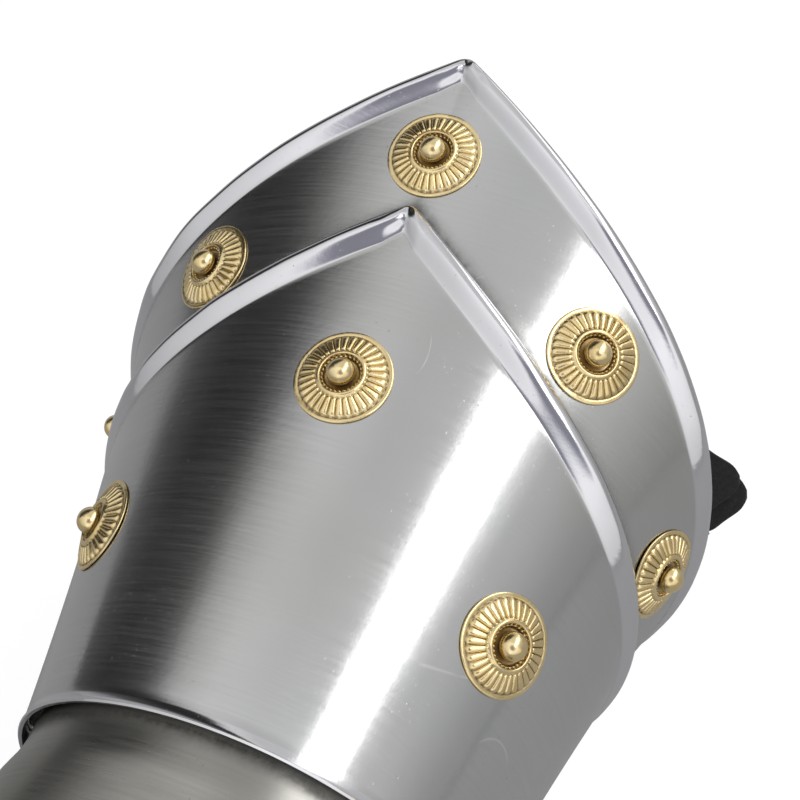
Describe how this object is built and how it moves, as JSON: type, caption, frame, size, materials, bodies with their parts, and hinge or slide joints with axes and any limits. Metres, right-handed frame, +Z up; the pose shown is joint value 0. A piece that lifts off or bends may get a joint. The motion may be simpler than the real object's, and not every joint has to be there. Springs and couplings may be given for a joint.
{
  "type": "gauntlet",
  "caption": "Right-hand steel gauntlet with a flared cuff of two overlapping pointed plates, fluted brass rosettes, articulated hand lames, plated fingers and thumb, and a buckled cuff strap.",
  "frame": {"origin": "centre of the bounding box, on the plane the cuff stands on", "axes": "+X from the elbow end to the fingertips, +Y to the thumb side, +Z up from the palm to the back of the hand"},
  "size_m": [0.3282, 0.157, 0.1265],
  "materials": {
    "polished_steel": "satin polished, fine brushing round the cuff",
    "dark_steel": "satin polished, slightly darker",
    "rivet_steel": "domed and polished",
    "buckle_steel": "bright",
    "rosette_brass": "gold brass with dark tarnish in the flutes",
    "rivet_brass": "polished dome",
    "strap_leather": "matt black suede"
  },
  "bodies": {
    "cuff": {"main_cuff_plate": "polished_steel", "rear_cuff_plate": "polished_steel", "rosette_main_centre": "rosette_brass", "rosette_rivet_main_centre": "rivet_brass", "rosette_main_left": "rosette_brass", "rosette_rivet_main_left": "rivet_brass", "rosette_main_right": "rosette_brass", "rosette_rivet_main_right": "rivet_brass", "rosette_rear_centre": "rosette_brass", "rosette_rivet_rear_centre": "rivet_brass", "rosette_rear_inner_left": "rosette_brass", "rosette_rivet_rear_inner_left": "rivet_brass", "rosette_rear_inner_right": "rosette_brass", "rosette_rivet_rear_inner_right": "rivet_brass", "rosette_rear_outer_left": "rosette_brass", "rosette_rivet_rear_outer_left": "rivet_brass", "rosette_rear_outer_right": "rosette_brass", "rosette_rivet_rear_outer_right": "rivet_brass", "wrist_rivet_thumb_side": "rivet_steel", "wrist_rivet_little_side": "rivet_steel", "closure_strap": "strap_leather", "buckle_chape": "strap_leather", "buckle_frame": "buckle_steel", "strap_rivet_little_side": "rivet_steel", "strap_rivet_thumb_side": "rivet_steel"},
    "hand": {"hand_plate": "dark_steel", "lame_rivet_1_thumb_side": "rivet_steel", "lame_rivet_1_little_side": "rivet_steel", "palm_strap": "strap_leather", "thumb_leather_strip": "strap_leather"},
    "lame_1": {"metacarpal_lame_1": "dark_steel", "lame_rivet_2_thumb_side": "rivet_steel", "lame_rivet_2_little_side": "rivet_steel"},
    "lame_2": {"metacarpal_lame_2": "dark_steel", "lame_rivet_3_thumb_side": "rivet_steel", "lame_rivet_3_little_side": "rivet_steel"},
    "knuckles": {"knuckle_plate": "dark_steel", "index_leather_strip": "strap_leather", "middle_leather_strip": "strap_leather", "ring_leather_strip": "strap_leather", "little_leather_strip": "strap_leather"},
    "index_proximal": {"index_proximal_plate": "dark_steel"},
    "index_middle": {"index_middle_plate": "dark_steel"},
    "index_tip": {"index_tip_plate": "dark_steel"},
    "middle_proximal": {"middle_proximal_plate": "dark_steel"},
    "middle_middle": {"middle_middle_plate": "dark_steel"},
    "middle_tip": {"middle_tip_plate": "dark_steel"},
    "ring_proximal": {"ring_proximal_plate": "dark_steel"},
    "ring_middle": {"ring_middle_plate": "dark_steel"},
    "ring_tip": {"ring_tip_plate": "dark_steel"},
    "little_proximal": {"little_proximal_plate": "dark_steel"},
    "little_middle": {"little_middle_plate": "dark_steel"},
    "little_tip": {"little_tip_plate": "dark_steel"},
    "thumb_base": {"thumb_base_plate": "dark_steel"},
    "thumb_proximal": {"thumb_proximal_plate": "dark_steel"},
    "thumb_tip": {"thumb_tip_plate": "dark_steel"},
    "prong": {"buckle_prong": "buckle_steel"}
  },
  "joints": [
    {"name": "wrist_hinge", "type": "hinge", "parent": "cuff", "child": "hand", "pos_m": [-0.02567, -0.00699, 0.04], "axis": [0, 1, 0], "range_deg": [-15, 20]},
    {"name": "lame_1_hinge", "type": "hinge", "parent": "hand", "child": "lame_1", "pos_m": [0.00994, -0.00699, 0.03463], "axis": [0, 1, 0], "range_deg": [-2, 8]},
    {"name": "lame_2_hinge", "type": "hinge", "parent": "lame_1", "child": "lame_2", "pos_m": [0.02769, -0.00699, 0.03144], "axis": [0, 1, 0], "range_deg": [-2, 8]},
    {"name": "knuckle_hinge", "type": "hinge", "parent": "lame_2", "child": "knuckles", "pos_m": [0.04543, -0.00699, 0.02826], "axis": [0, 1, 0], "range_deg": [-2, 8]},
    {"name": "index_knuckle_hinge", "type": "hinge", "parent": "knuckles", "child": "index_proximal", "pos_m": [0.07071, 0.02661, 0.0372], "axis": [-0.0595, 0.9982, 0.0073], "range_deg": [-4, 52], "deforming": ["index_leather_strip"]},
    {"name": "index_middle_joint", "type": "hinge", "parent": "index_proximal", "child": "index_middle", "pos_m": [0.11221, 0.02916, 0.02625], "axis": [-0.0595, 0.9982, 0.0073], "range_deg": [-10, 64], "deforming": ["index_leather_strip"]},
    {"name": "index_tip_joint", "type": "hinge", "parent": "index_middle", "child": "index_tip", "pos_m": [0.13651, 0.0307, 0.01457], "axis": [-0.0595, 0.9982, 0.0073], "range_deg": [-8, 36], "deforming": ["index_leather_strip"]},
    {"name": "middle_knuckle_hinge", "type": "hinge", "parent": "knuckles", "child": "middle_proximal", "pos_m": [0.07124, 0.00431, 0.04156], "axis": [-0.0179, 0.9998, 0.0022], "range_deg": [-4, 52], "deforming": ["middle_leather_strip"]},
    {"name": "middle_middle_joint", "type": "hinge", "parent": "middle_proximal", "child": "middle_middle", "pos_m": [0.11549, 0.00513, 0.02902], "axis": [-0.0179, 0.9998, 0.0022], "range_deg": [-10, 64], "deforming": ["middle_leather_strip"]},
    {"name": "middle_tip_joint", "type": "hinge", "parent": "middle_middle", "child": "middle_tip", "pos_m": [0.14229, 0.00563, 0.01554], "axis": [-0.0179, 0.9998, 0.0022], "range_deg": [-8, 36], "deforming": ["middle_leather_strip"]},
    {"name": "ring_knuckle_hinge", "type": "hinge", "parent": "knuckles", "child": "ring_proximal", "pos_m": [0.07127, -0.01819, 0.04176], "axis": [0.0218, 0.9998, -0.0027], "range_deg": [-4, 52], "deforming": ["ring_leather_strip"]},
    {"name": "ring_middle_joint", "type": "hinge", "parent": "ring_proximal", "child": "ring_middle", "pos_m": [0.11227, -0.01912, 0.02884], "axis": [0.0218, 0.9998, -0.0027], "range_deg": [-10, 64], "deforming": ["ring_leather_strip"]},
    {"name": "ring_tip_joint", "type": "hinge", "parent": "ring_middle", "child": "ring_tip", "pos_m": [0.1369, -0.0197, 0.01553], "axis": [0.0218, 0.9998, -0.0027], "range_deg": [-8, 36], "deforming": ["ring_leather_strip"]},
    {"name": "little_knuckle_hinge", "type": "hinge", "parent": "knuckles", "child": "little_proximal", "pos_m": [0.07089, -0.03959, 0.03864], "axis": [0.0595, 0.9982, -0.0073], "range_deg": [-10, 52], "deforming": ["little_leather_strip"]},
    {"name": "little_middle_joint", "type": "hinge", "parent": "little_proximal", "child": "little_middle", "pos_m": [0.10254, -0.04157, 0.0264], "axis": [0.0595, 0.9982, -0.0073], "range_deg": [-10, 64], "deforming": ["little_leather_strip"]},
    {"name": "little_tip_joint", "type": "hinge", "parent": "little_middle", "child": "little_tip", "pos_m": [0.12116, -0.04276, 0.01474], "axis": [0.0595, 0.9982, -0.0073], "range_deg": [-8, 36], "deforming": ["little_leather_strip"]},
    {"name": "thumb_base_hinge", "type": "hinge", "parent": "hand", "child": "thumb_base", "pos_m": [0.00516, 0.03901, 0.01204], "axis": [-0.2995, 0.5487, -0.7805], "range_deg": [-8, 4], "deforming": ["thumb_leather_strip"]},
    {"name": "thumb_middle_joint", "type": "hinge", "parent": "thumb_base", "child": "thumb_proximal", "pos_m": [0.03337, 0.05609, 0.01322], "axis": [-0.2995, 0.5487, -0.7805], "range_deg": [-10, 20], "deforming": ["thumb_leather_strip"]},
    {"name": "thumb_tip_joint", "type": "hinge", "parent": "thumb_proximal", "child": "thumb_tip", "pos_m": [0.05919, 0.06664, 0.01073], "axis": [-0.2995, 0.5487, -0.7805], "range_deg": [-8, 25], "deforming": ["thumb_leather_strip"]},
    {"name": "prong_hinge", "type": "hinge", "parent": "cuff", "child": "prong", "pos_m": [-0.08807, 0.00501, 0.0123], "axis": [1, 0, 0], "range_deg": [0, 10]}
  ]
}
